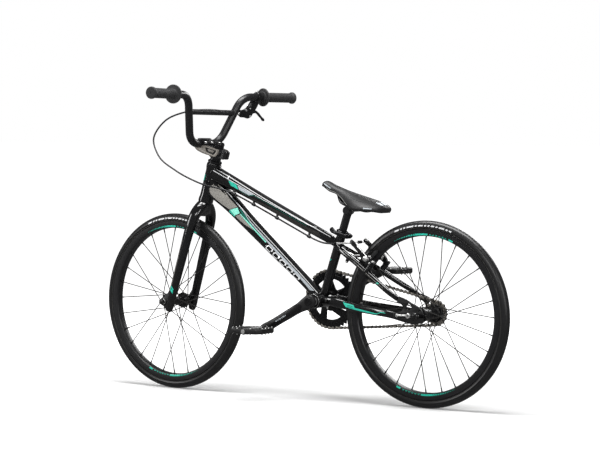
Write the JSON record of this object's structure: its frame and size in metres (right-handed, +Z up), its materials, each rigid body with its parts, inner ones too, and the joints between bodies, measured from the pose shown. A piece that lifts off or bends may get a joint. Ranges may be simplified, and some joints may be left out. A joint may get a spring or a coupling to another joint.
{
  "type": "bmx race bike",
  "caption": "20-inch BMX race bike: aluminium frame, rigid fork, high-rise bars with crossbar, single-speed chain drive and a rear V-brake.",
  "frame": {"origin": "the point where the rear tyre meets the ground", "axes": "+X forward, along the wheelbase; +Y to the rider's left; +Z up"},
  "size_m": [1.3549, 0.6521, 0.8758],
  "materials": {
    "gloss_black_paint": "gloss",
    "black_alloy": "satin black anodised",
    "grey_alloy": "satin grey",
    "bright_steel": "bright",
    "dark_steel": "oiled dark steel",
    "tyre_rubber": "matte",
    "soft_rubber": "matte",
    "saddle_cover": "matte"
  },
  "bodies": {
    "frame": {"head_tube": "gloss_black_paint", "top_tube": "gloss_black_paint", "down_tube": "gloss_black_paint", "seat_tube": "gloss_black_paint", "bb_shell": "gloss_black_paint", "chainstay_left": "gloss_black_paint", "chainstay_right": "gloss_black_paint", "seatstays": "gloss_black_paint", "dropout_left": "black_alloy", "dropout_right": "black_alloy", "tensioner_left": "bright_steel", "tensioner_right": "bright_steel", "headset_upper_cup": "black_alloy", "headset_lower_cup": "black_alloy", "bb_cup_left": "black_alloy", "bb_cup_right": "black_alloy", "rear_axle": "black_alloy", "seat_collar": "black_alloy", "chain": "dark_steel", "brake_housing": "soft_rubber"},
    "steering": {"fork": "gloss_black_paint", "front_axle": "black_alloy", "stem": "grey_alloy", "stem_cap": "black_alloy", "headset_cover": "black_alloy", "top_cap": "black_alloy", "handlebar": "black_alloy", "grip_left": "soft_rubber", "grip_right": "soft_rubber", "lever_perch": "black_alloy", "brake_cable_loop": "soft_rubber"},
    "brake_lever": {"brake_lever": "black_alloy"},
    "front_wheel": {"front_tyre": "tyre_rubber", "front_rim": "black_alloy", "front_hub": "black_alloy", "front_spokes_left": "bright_steel", "front_spokes_right": "bright_steel"},
    "rear_wheel": {"rear_tyre": "tyre_rubber", "rear_rim": "black_alloy", "rear_hub": "black_alloy", "rear_spokes_left": "bright_steel", "rear_spokes_right": "bright_steel"},
    "freewheel": {"freewheel": "dark_steel"},
    "cranks": {"crank_spindle": "bright_steel", "crank_left": "black_alloy", "crank_right": "black_alloy", "chainring": "black_alloy", "pedal_axle_left": "bright_steel", "pedal_axle_right": "bright_steel"},
    "pedal_left": {"pedal_left": "black_alloy"},
    "pedal_right": {"pedal_right": "black_alloy"},
    "seat": {"seatpost": "black_alloy", "saddle": "saddle_cover", "saddle_rails": "black_alloy"},
    "seat_qr_lever": {"seat_qr_lever": "black_alloy"},
    "brake_left": {"brake_arm_left": "black_alloy", "brake_pad_left": "soft_rubber", "brake_noodle": "bright_steel"},
    "brake_right": {"brake_arm_right": "black_alloy", "brake_pad_right": "soft_rubber"}
  },
  "joints": [
    {"name": "steering", "type": "hinge", "parent": "frame", "child": "steering", "pos_m": [0.706, 0, 0.654], "axis": [-0.2823, 0, 0.9593], "range_deg": [-57.1, 62.9], "deforming": ["brake_cable_loop"]},
    {"name": "front_wheel_spin", "type": "hinge", "parent": "steering", "child": "front_wheel", "pos_m": [0.84797, -0.00117, 0.25349], "axis": [0.0485, 0.9987, 0.0143], "continuous": true},
    {"name": "rear_wheel_spin", "type": "hinge", "parent": "frame", "child": "rear_wheel", "pos_m": [0, 0, 0.2535], "axis": [0, 1, 0], "continuous": true},
    {"name": "crank_spin", "type": "hinge", "parent": "frame", "child": "cranks", "pos_m": [0.338, 0, 0.277], "axis": [0, 1, 0], "continuous": true},
    {"name": "freewheel_spin", "type": "hinge", "parent": "frame", "child": "freewheel", "pos_m": [0, 0, 0.2535], "axis": [0, 1, 0], "continuous": true},
    {"name": "pedal_left_spin", "type": "hinge", "parent": "cranks", "child": "pedal_left", "pos_m": [0.48697, 0, 0.1951], "axis": [0, 1, 0], "continuous": true},
    {"name": "pedal_right_spin", "type": "hinge", "parent": "cranks", "child": "pedal_right", "pos_m": [0.18903, 0, 0.3589], "axis": [0, 1, 0], "continuous": true},
    {"name": "brake_lever_pull", "type": "hinge", "parent": "steering", "child": "brake_lever", "pos_m": [0.71725, -0.18398, 0.7928], "axis": [-0.8326, 0.1828, -0.5228], "range_deg": [0, 20], "stiffness_Nm_per_rad": 1, "springref_deg": -5.73},
    {"name": "brake_arm_left_swing", "type": "hinge", "parent": "frame", "child": "brake_left", "pos_m": [0.15094, 0.04, 0.38471], "axis": [0.6561, 0, -0.7547], "range_deg": [0, 3.4]},
    {"name": "brake_arm_right_swing", "type": "hinge", "parent": "frame", "child": "brake_right", "pos_m": [0.15094, -0.04, 0.38471], "axis": [-0.6561, 0, 0.7547], "range_deg": [0, 3.4]},
    {"name": "seat_height", "type": "slide", "parent": "frame", "child": "seat", "axis": [-0.319, 0, 0.9478], "range_m": [-0.03, 0.075]},
    {"name": "seat_clamp_lever", "type": "hinge", "parent": "frame", "child": "seat_qr_lever", "pos_m": [0.24878, 0.0155, 0.45795], "axis": [-0.319, 0, 0.9478], "range_deg": [0, 120]}
  ],
  "couplings": [
    {"joint": "freewheel_spin", "follows": "crank_spin", "ratio": 2.5},
    {"joint": "brake_arm_left_swing", "follows": "brake_lever_pull", "ratio": 0.17},
    {"joint": "brake_arm_right_swing", "follows": "brake_lever_pull", "ratio": 0.17}
  ]
}
